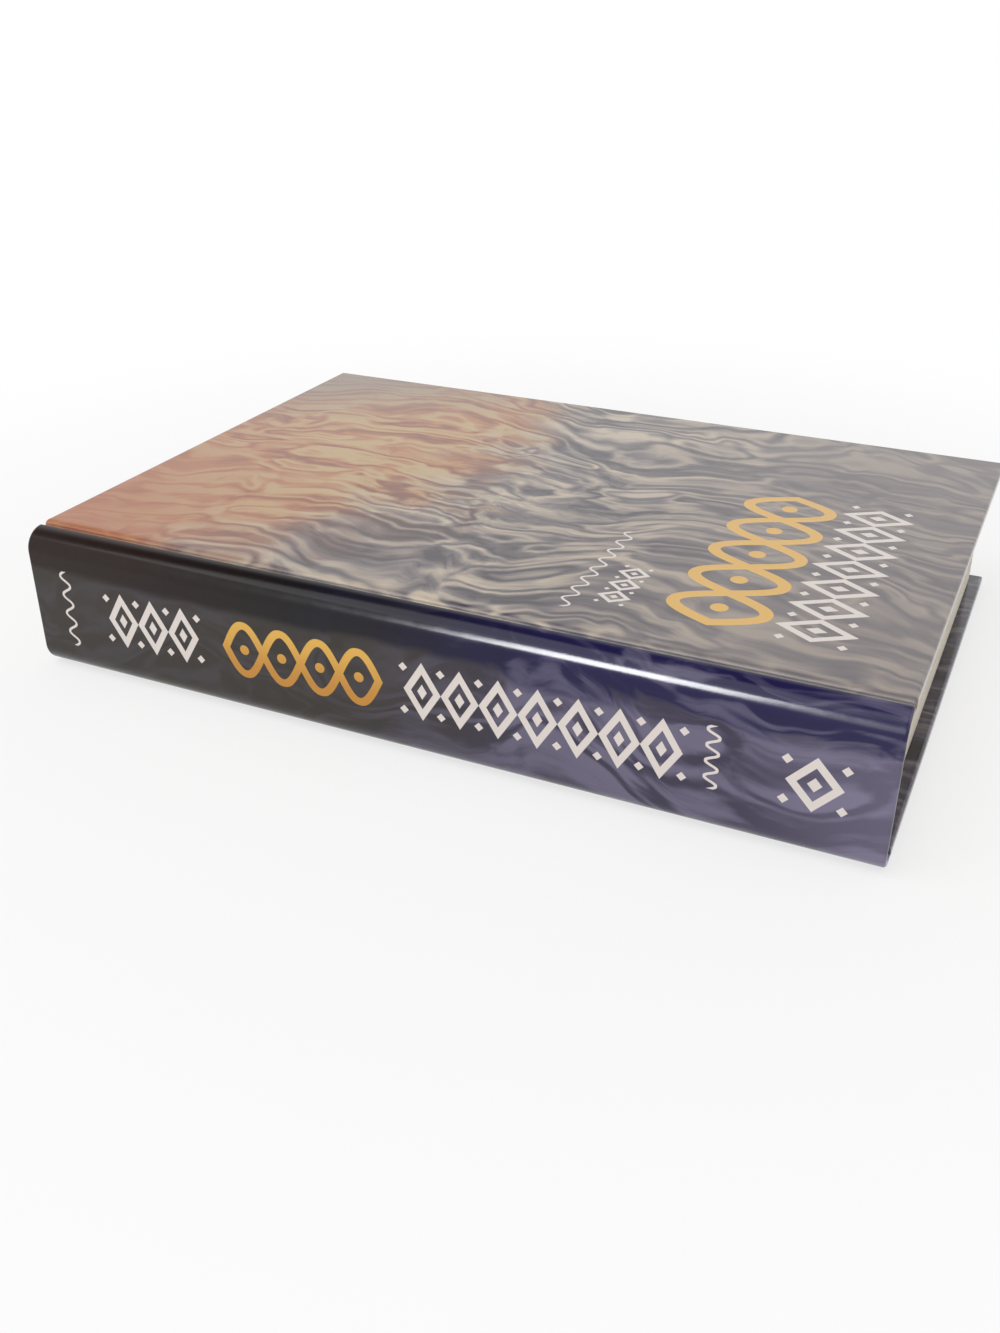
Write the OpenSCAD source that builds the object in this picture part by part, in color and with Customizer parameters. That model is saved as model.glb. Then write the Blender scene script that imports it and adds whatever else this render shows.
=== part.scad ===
// Hardback book with a flat spine, lying on its back cover with the spine towards -Y.
// X runs along the spine from head to tail, Y from spine to fore-edge, Z up through the pages.
// The origin is under the middle of the back cover. All sizes are in millimetres.

/* [Pages] */
// Height of a page, measured along the spine
page_len = 210; // [150:1:300]
// Width of a page, from spine to fore-edge
page_w = 148; // [100:0.5:220]
// Thickness of all the pages together
pages_t = 31.2; // [12:0.2:80]

/* [Case] */
// Thickness of the boards in the covers
board_t = 2.4; // [1.5:0.1:4]
// How far the boards stand out past the pages at head, tail and fore-edge
square = 3.2; // [2:0.1:6]
// Thickness of the card in the spine
spine_card_t = 1.2; // [0.6:0.1:2]
// Radius of the spine's rounded shoulders
shoulder_r = 5.6; // [4.2:0.1:8]
// How far the spine's shoulders lie below the faces of the covers
shoulder_drop = 0.3; // [0.1:0.1:0.8]
// Width of the open groove between a shoulder and a board
groove_w = 2; // [1:0.1:9]
// Radius of each cover's edge along its groove
edge_r = 1.2; // [0.6:0.1:1.3]

/* [Papers and cloth] */
// Thickness of the printed covering paper
covering_t = 0.25; // [0.15:0.05:0.4]
// Width of the covering folded in round the boards
turn_in = 15; // [10:1:25]
// Thickness of an endpaper leaf
leaf_t = 0.2; // [0.1:0.05:0.3]
// Thickness of the cloth glued to the spine of the pages
cloth_t = 0.25; // [0.15:0.05:0.4]
// How far the cloth stops short of head and tail
cloth_short = 15; // [12:1:30]
// Width of the cloth glued to each board
cloth_reach = 25; // [15:1:40]
// Thickness of the kraft lining over the cloth
lining_t = 0.25; // [0.15:0.05:0.4]
// How far the lining stops short of head and tail
lining_short = 1; // [0:0.5:5]

/* [Head and tail bands] */
// Diameter of the bead of a band
bead_d = 1.8; // [1:0.1:2.6]
// Length of the band's tape glued down on the spine of the pages
tape_len = 12; // [6:1:12]

/* [Clearances] */
// Hollow between the spine card and the lining
hollow = 0.6; // [0.5:0.1:1.5]
// Gap between a flyleaf and the cover that closes on it
leaf_gap = 0.1; // [0.05:0.05:0.3]
// Gap between the strips in a groove and the board beside them
hinge_gap = 0.2; // [0.1:0.05:0.4]

/* [Hidden] */
$fn = 96;
eps = 0.01;

// Lengths along the spine
board_len = page_len + 2 * square;
case_len = board_len + 2 * covering_t;
cloth_len = page_len - 2 * cloth_short;
lining_len = page_len - 2 * lining_short;
window_len = case_len - 2 * turn_in;

// Places from spine to fore-edge, with the whole depth centred on Y = 0
spine_stack = covering_t + spine_card_t + hollow + lining_t + cloth_t;
case_w = spine_stack + page_w + square + covering_t;
face_y = -case_w / 2;
crest_y = face_y + shoulder_r;
page_y = face_y + spine_stack;
fore_y = page_y + page_w;
edge_y = case_w / 2;
cover_y = crest_y + groove_w;
strip_end_y = cover_y - hinge_gap;
window_y = edge_y - turn_in;

// The pages' own shoulders bend about the same line in Y as the spine's
pages_r = shoulder_r - spine_stack;

// Heights of the layers above the middle of the pages
leaf_z = pages_t / 2;
pastedown_z = leaf_z + leaf_t + leaf_gap;
inlay_z = pastedown_z + leaf_t;
board_z = inlay_z + covering_t;
skin_z = board_z + board_t;
cover_z = skin_z + covering_t;
spine_z = cover_z - shoulder_drop;

// Sets the middle of the pages at its height above the face of the back cover
module lifted() {
    translate([0, 0, cover_z]) children();
}

// The back half mirrors the front half about the middle of the pages
module turned_over() {
    lifted() mirror([0, 0, 1]) children();
}

// Any shape together with its mirror image about the middle of the pages
module on_both_sides() {
    children();
    mirror([0, 0, 1]) children();
}

// A flat sheet or board, centred on X, between two places in Y and two heights
module layer(len, y0, y1, z0, z1) {
    translate([-len / 2, y0, z0]) cube([len, y1 - y0, z1 - z0]);
}

// A section in Y and Z carried along the spine, from X = x0
module along_spine(x0, len) {
    translate([x0, 0, 0]) rotate([90, 0, 90]) linear_extrude(len) children();
}

// The same section at the head and at the tail, each between two distances from the middle
module at_both_ends(inner_x, outer_x) {
    along_spine(-outer_x, outer_x - inner_x) children();
    along_spine(inner_x, outer_x - inner_x) children();
}

// Section from y0 to y1 and from -z1 to z1, with both corners at y0 rounded
module shouldered(y0, y1, z1, r) {
    translate([y0, r - z1]) square([y1 - y0, 2 * (z1 - r)]);
    translate([y0 + r, -z1]) square([y1 - y0 - r, 2 * z1]);
    for (side = [-1, 1])
        translate([y0 + r, side * (z1 - r)]) circle(r);
}

// Section of everything behind the spine's face, set in from it by a depth
module spine_section(depth, end_y) {
    shouldered(face_y + depth, end_y, spine_z - depth, shoulder_r - depth);
}

// Section of the pages, grown by what is glued round their spine
module pages_section(grown, end_y) {
    shouldered(page_y - grown, end_y, leaf_z + grown, pages_r + grown);
}

// Keeps only what lies below a height, and no further than a distance past the crests
module behind_crests(height, past = 0) {
    intersection() {
        children();
        translate([face_y, -height]) square([shoulder_r + past, 2 * height]);
    }
}

// Section of a shell that follows the spine and its shoulders between two depths
module spine_shell(depth0, depth1, past = 0) {
    behind_crests(spine_z, past) difference() {
        spine_section(depth0, crest_y + past + eps);
        spine_section(depth1, crest_y + shoulder_r);
    }
}

// Section of a layer glued round the spine of the pages, as far as a height
module glued_shell(inner, thickness, height) {
    behind_crests(height) difference() {
        pages_section(inner + thickness, crest_y + eps);
        pages_section(inner, crest_y + shoulder_r);
    }
}

module text_block() {
    color("ivory")
    lifted() along_spine(-page_len / 2, page_len) pages_section(0, fore_y);
}

// A free leaf and, folded back over it, the strip that runs out along the groove
module endpaper_leaf() {
    layer(page_len, crest_y, fore_y, leaf_z, leaf_z + leaf_t);
    layer(page_len, crest_y, crest_y + leaf_t, leaf_z, inlay_z);
    layer(page_len, crest_y, strip_end_y, pastedown_z, inlay_z);
}

module front_flyleaf() {
    color("seashell")
    lifted() endpaper_leaf();
}

module back_flyleaf() {
    color("seashell")
    turned_over() endpaper_leaf();
}

// A bead across the end of the pages, bent round their shoulders, and the tape that holds it
module band() {
    bead_x = page_len / 2 + bead_d / 2;
    bead_bend = pages_r + cloth_t - bead_d / 2;
    bend_z = leaf_z - pages_r;
    lifted() {
        translate([bead_x, crest_y - bead_bend, -bend_z]) cylinder(d = bead_d, h = 2 * bend_z);
        on_both_sides() translate([bead_x, crest_y, bend_z])
            rotate([0, -90, 0]) rotate([0, 0, -90])
                rotate_extrude(angle = 90) translate([bead_bend, 0]) circle(d = bead_d);
        along_spine(page_len / 2 - tape_len, tape_len + bead_d / 2) glued_shell(0, cloth_t, leaf_z);
    }
}

module headband() {
    color("goldenrod")
    mirror([1, 0, 0]) band();
}

module tailband() {
    color("goldenrod")
    band();
}

// Cloth round the spine of the pages, folded out along both grooves
module spine_cloth() {
    color("gainsboro")
    lifted() {
        along_spine(-cloth_len / 2, cloth_len) glued_shell(0, cloth_t, leaf_z + cloth_t);
        on_both_sides() {
            layer(cloth_len, crest_y - cloth_t, crest_y, leaf_z, board_z);
            layer(cloth_len, crest_y - cloth_t, strip_end_y, inlay_z, board_z);
        }
    }
}

module spine_lining() {
    color("burlywood")
    lifted() along_spine(-lining_len / 2, lining_len) glued_shell(cloth_t, lining_t, leaf_z);
}

// Card bent round both shoulders
module spine_board() {
    color("darkgray")
    lifted() along_spine(-board_len / 2, board_len)
        spine_shell(covering_t, covering_t + spine_card_t);
}

// Side and floor of the groove beyond one shoulder
module groove_lining() {
    layer(case_len, crest_y, crest_y + covering_t, board_z, spine_z);
    layer(case_len, crest_y, strip_end_y, board_z, board_z + covering_t);
    for (end = [-1, 1])
        translate([end * (case_len - turn_in) / 2, 0, 0])
            layer(turn_in, crest_y, strip_end_y, inlay_z, board_z);
}

// Printed paper over the spine, folded in at head and tail, with the floors of both grooves
module spine_covering() {
    inside = covering_t + spine_card_t;
    color("dimgray")
    lifted() {
        along_spine(-case_len / 2, case_len) spine_shell(0, covering_t, covering_t);
        at_both_ends(board_len / 2, case_len / 2) spine_shell(0, inside + covering_t);
        at_both_ends(window_len / 2, case_len / 2) spine_shell(inside, inside + covering_t);
        on_both_sides() groove_lining();
    }
}

// Section of a cover from a height upwards, set in from its edges and outer face by a depth
module cover_section(depth, low_z) {
    r = edge_r - depth;
    y0 = cover_y + depth;
    y1 = edge_y - depth;
    z1 = cover_z - depth;
    translate([y0, low_z]) square([y1 - y0, z1 - r - low_z]);
    translate([y0 + r, z1 - r]) square([y1 - y0 - r, r]);
    translate([y0 + r, z1 - r]) circle(r);
}

module cover_board() {
    along_spine(-board_len / 2, board_len) cover_section(covering_t, board_z);
}

// Printed paper over one board, folded round its edges and in over its inner face
module cover_covering() {
    difference() {
        along_spine(-case_len / 2, case_len) cover_section(0, inlay_z);
        cover_board();
        layer(window_len, cover_y - eps, window_y, inlay_z - eps, board_z + eps);
    }
}

// Cloth glued to the board under the pastedown
module hinge_cloth() {
    layer(cloth_len, cover_y, cover_y + cloth_reach, inlay_z, board_z);
}

// Pasted leaf, which sinks between the folded-in edges to meet the board
module pastedown() {
    layer(page_len, cover_y, fore_y, pastedown_z, inlay_z);
    difference() {
        layer(window_len, cover_y, window_y, inlay_z, board_z);
        layer(cloth_len, cover_y - eps, cover_y + cloth_reach, inlay_z - eps, board_z + eps);
    }
}

module front_board() {
    color("darkgray")
    lifted() cover_board();
}

module front_covering() {
    color("rosybrown")
    lifted() cover_covering();
}

module front_pastedown() {
    color("seashell")
    lifted() pastedown();
}

module front_hinge_cloth() {
    color("gainsboro")
    lifted() hinge_cloth();
}

module back_board() {
    color("darkgray")
    turned_over() cover_board();
}

module back_covering() {
    color("slategray")
    turned_over() cover_covering();
}

module back_pastedown() {
    color("seashell")
    turned_over() pastedown();
}

module back_hinge_cloth() {
    color("gainsboro")
    turned_over() hinge_cloth();
}

text_block();
front_flyleaf();
back_flyleaf();
headband();
tailband();
spine_cloth();
spine_lining();
spine_board();
spine_covering();
front_board();
front_covering();
front_pastedown();
front_hinge_cloth();
back_board();
back_covering();
back_pastedown();
back_hinge_cloth();
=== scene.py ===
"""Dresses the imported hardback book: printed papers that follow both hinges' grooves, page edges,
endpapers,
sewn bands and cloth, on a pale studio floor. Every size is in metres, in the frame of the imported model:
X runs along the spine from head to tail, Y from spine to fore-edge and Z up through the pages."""

import math

import bmesh
import bpy
import numpy as np
from bpy.props import FloatProperty, FloatVectorProperty, IntProperty, PointerProperty
from mathutils import Matrix, Vector


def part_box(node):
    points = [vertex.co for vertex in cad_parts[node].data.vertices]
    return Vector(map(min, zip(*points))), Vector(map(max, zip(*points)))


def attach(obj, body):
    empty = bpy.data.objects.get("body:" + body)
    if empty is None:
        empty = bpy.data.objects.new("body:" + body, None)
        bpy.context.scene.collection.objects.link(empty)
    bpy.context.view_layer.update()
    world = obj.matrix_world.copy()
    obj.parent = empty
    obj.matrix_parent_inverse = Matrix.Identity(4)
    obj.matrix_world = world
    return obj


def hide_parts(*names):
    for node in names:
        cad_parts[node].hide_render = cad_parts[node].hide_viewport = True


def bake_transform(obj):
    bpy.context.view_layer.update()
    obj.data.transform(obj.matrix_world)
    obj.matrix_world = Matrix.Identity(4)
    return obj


bl_info = {
    "name": "Hardback Book Dressing",
    "version": (1, 0, 0),
    "blender": (4, 5, 0),
    "location": "3D Viewport > Sidebar > Book",
    "description": "Printed papers, page edges, endpapers, bands and a studio for a packed hardback book",
    "category": "Add Mesh",
}

MM = 0.001
PER_MM = 1 / MM

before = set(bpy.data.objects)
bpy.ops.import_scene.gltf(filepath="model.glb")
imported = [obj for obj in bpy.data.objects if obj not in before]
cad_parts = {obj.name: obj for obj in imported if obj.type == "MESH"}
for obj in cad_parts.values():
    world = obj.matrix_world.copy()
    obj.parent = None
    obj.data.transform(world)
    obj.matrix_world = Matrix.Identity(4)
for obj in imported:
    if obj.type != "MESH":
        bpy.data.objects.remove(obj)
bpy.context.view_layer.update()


def low(node):
    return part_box(node)[0]


def high(node):
    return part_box(node)[1]


# Half lengths along the spine
CASE_X = high("front_covering").x
PAGE_X = high("text_block").x
CLOTH_X = high("front_hinge_cloth").x

# Places from spine to fore-edge
FACE_Y = low("spine_covering").y
CREST_Y = high("spine_board").y
COVER_Y = low("front_covering").y
EDGE_Y = high("front_covering").y
PAGE_Y = low("text_block").y
FORE_Y = high("text_block").y
CLOTH_Y = high("front_hinge_cloth").y
HINGE_Y = (CREST_Y + COVER_Y) / 2

# Heights
COVER_Z = high("front_covering").z
SPINE_Z = high("spine_board").z + (low("spine_board").y - FACE_Y)
INLAY_Z = low("front_covering").z
BOARD_Z = low("front_board").z
LEAF_Z = high("text_block").z
PASTE_Z = low("front_pastedown").z
MID_Z = COVER_Z / 2

# Thicknesses and radii that follow from those places
PAPER_T = low("spine_board").y - FACE_Y
LEAF_T = INLAY_Z - PASTE_Z
CLOTH_T = BOARD_Z - INLAY_Z
SHOULDER_R = CREST_Y - FACE_Y
PAGES_R = CREST_Y - PAGE_Y

# The photograph's camera, fitted to the corners of the book: sizes in pixels, the sensor in
# millimetres, the place in metres and the angles in degrees
IMAGE_HEIGHT_PX = 1333
FOCAL_PX = 1298.18
SENSOR = 36.0
CAMERA_PLACE = (0.127068, -0.299094, 0.164445)
CAMERA_AZIMUTH = 25.080
CAMERA_ELEVATION = 28.808
CAMERA_ROLL = -0.125


def ink(red, green, blue):
    """A colour as a picture shows it, 0 to 255, turned into the linear values that a material holds."""
    shown = np.array([red, green, blue]) / 255
    return tuple(np.where(shown <= 0.04045, shown / 12.92, ((shown + 0.055) / 1.055) ** 2.4))


class BookShape(bpy.types.PropertyGroup):
    """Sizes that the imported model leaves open"""

    turn_in: FloatProperty(
        name="Turn-in", description="Width of the printed paper folded in round the boards",
        default=15 * MM, unit="LENGTH")
    card_t: FloatProperty(
        name="Spine card", description="Thickness of the card in the spine",
        default=1.2 * MM, unit="LENGTH")
    groove_depth: FloatProperty(
        name="Groove depth", description="How far the paper sinks between a shoulder and a cover",
        default=1.2 * MM, unit="LENGTH")
    lip_r: FloatProperty(
        name="Cover lip", description="Radius of a cover's edge along its groove",
        default=1.0 * MM, unit="LENGTH")
    fold_r: FloatProperty(
        name="Fold radius", description="Radius of the paper where it turns round a board's edge",
        default=0.7 * MM, unit="LENGTH")
    corner_r: FloatProperty(
        name="Corner radius", description="Radius of the covers' corners, seen from above",
        default=0.4 * MM, unit="LENGTH")
    leaf_count: IntProperty(
        name="Leaf edges", description="How many leaf edges the sides of the pages show",
        default=156, min=20, max=400)
    leaf_jitter: FloatProperty(
        name="Leaf jitter", description="How far single leaves lie back from the cut edge",
        default=0.07 * MM, unit="LENGTH")
    bead_d: FloatProperty(
        name="Bead", description="Diameter of the sewn bead at head and tail",
        default=1.8 * MM, unit="LENGTH")
    tape_len: FloatProperty(
        name="Band tape", description="Length of the tape that holds a bead on the pages",
        default=12 * MM, unit="LENGTH")
    thread_pitch: FloatProperty(
        name="Thread pitch", description="Distance between the stitches of a bead",
        default=0.7 * MM, unit="LENGTH")


def colour(name, description, default):
    """A colour that a user can change."""
    return FloatVectorProperty(
        name=name, description=description, default=default, subtype="COLOR", size=3, min=0, max=1)


class BookColours(bpy.types.PropertyGroup):
    """Colours of inks, papers and threads; some of them also paint shade and reflection"""

    warm_deep: colour("Warm deep", "Deepest warm ink of the front cover", ink(134, 78, 50))
    warm_mid: colour("Warm mid", "Orange ink of the front cover", ink(176, 116, 72))
    warm_bright: colour("Warm bright", "Orange glow near the spine, towards the head", ink(170, 94, 48))
    warm_pale: colour("Warm pale", "Palest warm ink of the front cover", ink(188, 158, 110))
    cool_deep: colour("Cool deep", "Deepest cool ink of the front cover", ink(60, 53, 62))
    cool_mid: colour("Cool mid", "Grey violet ink of the front cover", ink(118, 109, 109))
    cool_pale: colour("Cool pale", "Palest cool ink of the front cover", ink(194, 178, 158))
    spine_brown: colour("Spine brown", "Ink of the spine towards the head", ink(56, 51, 46))
    spine_violet: colour("Spine violet", "Ink of the spine towards the tail", ink(62, 57, 77))
    spine_pale: colour("Spine pale", "Pale strands on the spine", ink(124, 118, 142))
    # Painted reflection along the spine's upper shoulder: the dark room mirrored there, painted into these
    # colours over the spine's own dark ink
    shoulder_brown_and_painted_reflection: colour("Shoulder brown", "Dark band along the shoulder at the head", ink(30, 11, 6))
    shoulder_navy_and_painted_reflection: colour("Shoulder navy", "Dark band along the shoulder at the tail", ink(20, 15, 66))
    # Darkest ink of the back cover; also the middle of the shoulder's painted reflection, and the painted
    # shadow on the floor under the back joint
    night_ink_and_painted_shade: colour("Night", "Darkest ink, in the middle of that band", ink(14, 11, 16))
    gold: colour("Gold", "Gold ink of the ornaments", ink(224, 176, 84))
    gold_deep: colour("Deep gold", "Shaded part of the gold ink", ink(196, 138, 58))
    cream: colour("Cream", "Pale ink of the ornaments", ink(224, 214, 208))
    page: colour("Pages", "Paper of the pages", (0.88, 0.81, 0.69))
    endpaper: colour("Endpaper", "Paper of the endpapers", (0.80, 0.78, 0.72))
    thread: colour("Thread", "Coloured thread of the bands", (0.62, 0.36, 0.13))
    thread_pale: colour("Pale thread", "Undyed thread of the bands", (0.80, 0.74, 0.60))
    cloth: colour("Cloth", "Open cloth round the spine of the pages", (0.78, 0.75, 0.67))
    kraft: colour("Kraft", "Brown lining paper", (0.46, 0.31, 0.18))
    greyboard: colour("Greyboard", "Board of covers and spine", (0.36, 0.34, 0.31))
    floor: colour("Floor", "Studio floor", (0.88, 0.88, 0.88))


def shape():
    return bpy.context.scene.book_shape


def colours():
    return bpy.context.scene.book_colours


def rgba(value):
    return (*value, 1.0)


# Meshes

def grid_faces(rows, cols, closed=False):
    """Quads between neighbours of a grid of points, which turn from the columns towards the rows.
    In a closed grid the last column meets the first."""
    i = cols * np.arange(rows - 1)[:, None]
    j = np.arange(cols if closed else cols - 1)[None, :]
    beside = (j + 1) % cols
    corners = np.broadcast_arrays(i + j, i + beside, i + cols + beside, i + cols + j)
    return np.stack(corners, axis=-1).reshape(-1, 4)


def stacked(*columns):
    """Points of a grid from their X, Y and Z arrays, which may be broadcast against each other."""
    return np.stack(np.broadcast_arrays(*columns), axis=-1)


def upside_down(points):
    """The same grid mirrored about the middle of the pages, with its rows in reverse order."""
    mirrored = points.copy()
    mirrored[..., 2] = 2 * MID_Z - mirrored[..., 2]
    return mirrored[::-1]


MERGE_DISTANCE = 0.002 * MM
SLIVER_LENGTH = 0.001 * MM


def new_piece(name, *surfaces):
    """One mesh object from several surfaces, each a pair of points and faces, merged where they meet."""
    mesh = bpy.data.meshes.new(name)
    points = []
    faces = []
    first = 0
    for surface_points, surface_faces in surfaces:
        flat = surface_points.reshape(-1, 3)
        points.append(flat)
        faces.extend([[first + index for index in face] for face in surface_faces])
        first += len(flat)
    mesh.from_pydata(np.concatenate(points).tolist(), [], faces)
    working = bmesh.new()
    working.from_mesh(mesh)
    bmesh.ops.remove_doubles(working, verts=working.verts, dist=MERGE_DISTANCE)
    bmesh.ops.dissolve_degenerate(working, edges=working.edges, dist=SLIVER_LENGTH)
    working.to_mesh(mesh)
    working.free()
    obj = bpy.data.objects.new(name, mesh)
    bpy.context.scene.collection.objects.link(obj)
    return obj


def grid(points):
    """An open grid of points with its faces."""
    return points, grid_faces(*points.shape[:2]).tolist()


def closed_tube(points):
    """A grid whose rows are closed rings, with a flat face over its first and its last ring."""
    rows, cols = points.shape[:2]
    first = list(range(cols))[::-1]
    last = list(range((rows - 1) * cols, rows * cols))
    return points, grid_faces(rows, cols, closed=True).tolist() + [first, last]


def give_wall(obj, thickness, offset):
    """Turns a surface into a closed wall; offset -1 keeps the surface outside, 0 in the middle."""
    wall = obj.modifiers.new("Wall", "SOLIDIFY")
    wall.thickness = thickness
    wall.offset = offset
    depsgraph = bpy.context.evaluated_depsgraph_get()
    finished = bpy.data.meshes.new_from_object(obj.evaluated_get(depsgraph))
    finished.name = obj.name
    obj.modifiers.clear()
    obj.data = finished


SHARP_DEGREES = 40


def smooth_faces(obj, sharp_degrees=SHARP_DEGREES):
    """Smooth shading that breaks at edges sharper than an angle."""
    obj.data.shade_smooth()
    obj.data.set_sharp_from_angle(angle=math.radians(sharp_degrees))


def ease(t):
    """From 0 to 1 with level ends: half of one less the cosine of half a turn."""
    return (1 - np.cos(np.pi * t)) / 2


# Section of the printed paper across the spine, as an outer path and the path of its folded-in edge.
# The counts are how many points each stretch has
FACE_POINTS = 20
SHOULDER_POINTS = 34
SINK_POINTS = 14
RISE_POINTS = 26
LIP_POINTS = 18
FLAT_POINTS = 6


def spine_half_paths():
    """Outer and inner path from the middle of the face to the bottom of the front groove.
    The face is straight, the shoulder a quarter circle and the groove's side half a cosine wave."""
    inward = 2 * PAPER_T + shape().card_t
    centre_z = SPINE_Z - SHOULDER_R
    face_z = np.linspace(MID_Z, centre_z, FACE_POINTS)[:-1]
    turn = np.linspace(0, np.pi / 2, SHOULDER_POINTS)
    sink = np.linspace(0, 1, SINK_POINTS)[1:]
    sunk_y = CREST_Y + sink * (HINGE_Y - CREST_Y)

    def path(depth, sunk_z):
        radius = SHOULDER_R - depth
        y = [np.full_like(face_z, FACE_Y + depth), CREST_Y - radius * np.cos(turn), sunk_y]
        z = [face_z, centre_z + radius * np.sin(turn), sunk_z]
        return np.stack([np.concatenate(y), np.concatenate(z)], axis=1)

    outer = path(0, SPINE_Z - shape().groove_depth * ease(sink))
    inner = path(inward, np.full_like(sink, SPINE_Z - inward))
    return outer, inner


def cover_paths(end_y):
    """Outer and inner path from the bottom of the front groove to a place on the cover.
    A quarter ellipse rises out of the groove, a quarter circle forms the lip and the rest is flat."""
    groove_z = SPINE_Z - shape().groove_depth
    lip_z = COVER_Z - shape().lip_r
    rise = np.linspace(0, np.pi / 2, RISE_POINTS)
    turn = np.linspace(0, np.pi / 2, LIP_POINTS)[1:]
    flat_y = np.linspace(COVER_Y + shape().lip_r, end_y, FLAT_POINTS)[1:]
    y = np.concatenate([
        HINGE_Y + (COVER_Y - HINGE_Y) * np.sin(rise),
        COVER_Y + shape().lip_r * (1 - np.cos(turn)),
        flat_y])
    outer_z = np.concatenate([
        lip_z - (lip_z - groove_z) * np.cos(rise),
        lip_z + shape().lip_r * np.sin(turn),
        np.full_like(flat_y, COVER_Z)])
    inner_start = SPINE_Z - 2 * PAPER_T - shape().card_t
    fallen = ease(np.clip((y - HINGE_Y) / (COVER_Y - HINGE_Y), 0, 1))
    inner_z = inner_start + (INLAY_Z - inner_start) * fallen
    return np.stack([y, outer_z], axis=1), np.stack([y, inner_z], axis=1)


# Places of the points near a fold, its largest radius as a share of the depth, and counts of points
NEAR_EDGE = 1.5 * MM
BESIDE_FOLD = 0.2 * MM
FOLD_SHARE = 0.48
FOLD_POINTS = 7
INNER_COLUMNS = 26


def fold_profile(depth):
    """The paper's way round an edge, for each depth between its two sides: how far it lies in from
    the edge, and its height above the folded-in side. Two quarter circles join the flat stretches."""
    depth = np.atleast_1d(depth)[:, None]
    radius = np.minimum(shape().fold_r, FOLD_SHARE * depth)
    turn = np.linspace(0, np.pi / 2, FOLD_POINTS)[None, :]
    far = np.full_like(depth, shape().turn_in)
    near = np.full_like(depth, NEAR_EDGE)
    flat = np.concatenate([far, near, radius + BESIDE_FOLD], axis=1)
    inset = np.concatenate(
        [flat, radius * (1 - np.sin(turn)), radius * (1 - np.cos(turn)), flat[:, ::-1]], axis=1)
    height = np.concatenate(
        [0 * flat, radius * (1 - np.cos(turn)), depth - radius * (1 - np.sin(turn)), 0 * flat + depth],
        axis=1)
    return inset, height


def inner_columns():
    """Places along the spine between the two stretches that the fold profile covers."""
    reach = CASE_X - shape().turn_in
    return np.linspace(-reach, reach, INNER_COLUMNS + 2)[1:-1]


def folded_strip(outer, inner):
    """A strip of paper along the spine that follows the outer path and folds to the inner one at
    head and tail: each point lies on the line from the inner to the outer path, at its height's share."""
    depth = np.linalg.norm(outer - inner, axis=1)
    inset, height = fold_profile(depth)
    rows = len(depth)
    middle = np.broadcast_to(inner_columns(), (rows, INNER_COLUMNS))
    x = np.concatenate([inset - CASE_X, middle, CASE_X - inset[:, ::-1]], axis=1)
    full = np.broadcast_to(depth[:, None], (rows, INNER_COLUMNS))
    share = np.concatenate([height, full, height[:, ::-1]], axis=1) / depth[:, None]
    y = inner[:, :1] + (outer[:, :1] - inner[:, :1]) * share
    z = inner[:, 1:] + (outer[:, 1:] - inner[:, 1:]) * share
    return stacked(x, y, z)


STRIP_WIDTH = 3.4 * MM
SIDE_POINTS = 14
CORNER_POINTS = 7


def board_outline(inset, start_y):
    """Outline of a cover on three sides, set in by some distance: along the head, round the corner,
    along the fore-edge, round the corner and back along the tail. A corner's arc shrinks with the inset."""
    radius = max(shape().corner_r - inset, 0)
    half = CASE_X - inset
    fore = EDGE_Y - inset
    side = np.linspace(start_y, fore - radius, SIDE_POINTS)
    turn = np.linspace(0, np.pi / 2, CORNER_POINTS)[1:-1]
    across = np.linspace(-(half - radius), half - radius, INNER_COLUMNS + 2)
    corner_x = -(half - radius) - radius * np.cos(turn)
    corner_y = fore - radius + radius * np.sin(turn)
    x = np.concatenate([np.full_like(side, -half), corner_x, across, -corner_x[::-1],
                        np.full_like(side, half)])
    y = np.concatenate([side, corner_y, np.full_like(across, fore), corner_y[::-1], side[::-1]])
    return np.stack([x, y], axis=1)


def cover_paper_surfaces():
    """The printed paper of the front cover: the strip at the hinge, the folded edges on the other
    three sides as one profile carried round the outline, and the flat middle."""
    start_y = COVER_Y + STRIP_WIDTH
    outer, inner = cover_paths(start_y)
    strip = folded_strip(outer, inner)
    inset, height = fold_profile(COVER_Z - INLAY_Z)
    outlines = np.stack([board_outline(distance, start_y) for distance in inset[0]], axis=1)
    edges = stacked(outlines[..., 0], outlines[..., 1], INLAY_Z + height)
    reach = CASE_X - shape().turn_in
    flat_x = np.linspace(-reach, reach, INNER_COLUMNS + 2)[None, :]
    flat_y = np.linspace(start_y, EDGE_Y - shape().turn_in, SIDE_POINTS)[:, None]
    middle = stacked(flat_x, flat_y, COVER_Z)
    return strip, edges, middle


def bend_at_hinge(obj, side):
    """Bakes the paper's place into its mesh, the same way at the front and at the back."""
    if side == "front":
        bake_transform(obj)
    else:
        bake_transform(obj)


class BOOK_OT_spine_paper(bpy.types.Operator):
    """Printed paper over the spine and down into both grooves"""

    bl_idname = "book.spine_paper"
    bl_label = "Spine Paper"

    def execute(self, context):
        outer, inner = spine_half_paths()
        front = folded_strip(outer, inner)
        back = upside_down(front)
        paper = new_piece("spine_paper", grid(back), grid(front))
        give_wall(paper, PAPER_T, -1)
        smooth_faces(paper)
        paper.data.materials.append(spine_print())
        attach(paper, "book_block")
        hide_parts("spine_covering")
        return {"FINISHED"}


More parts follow.
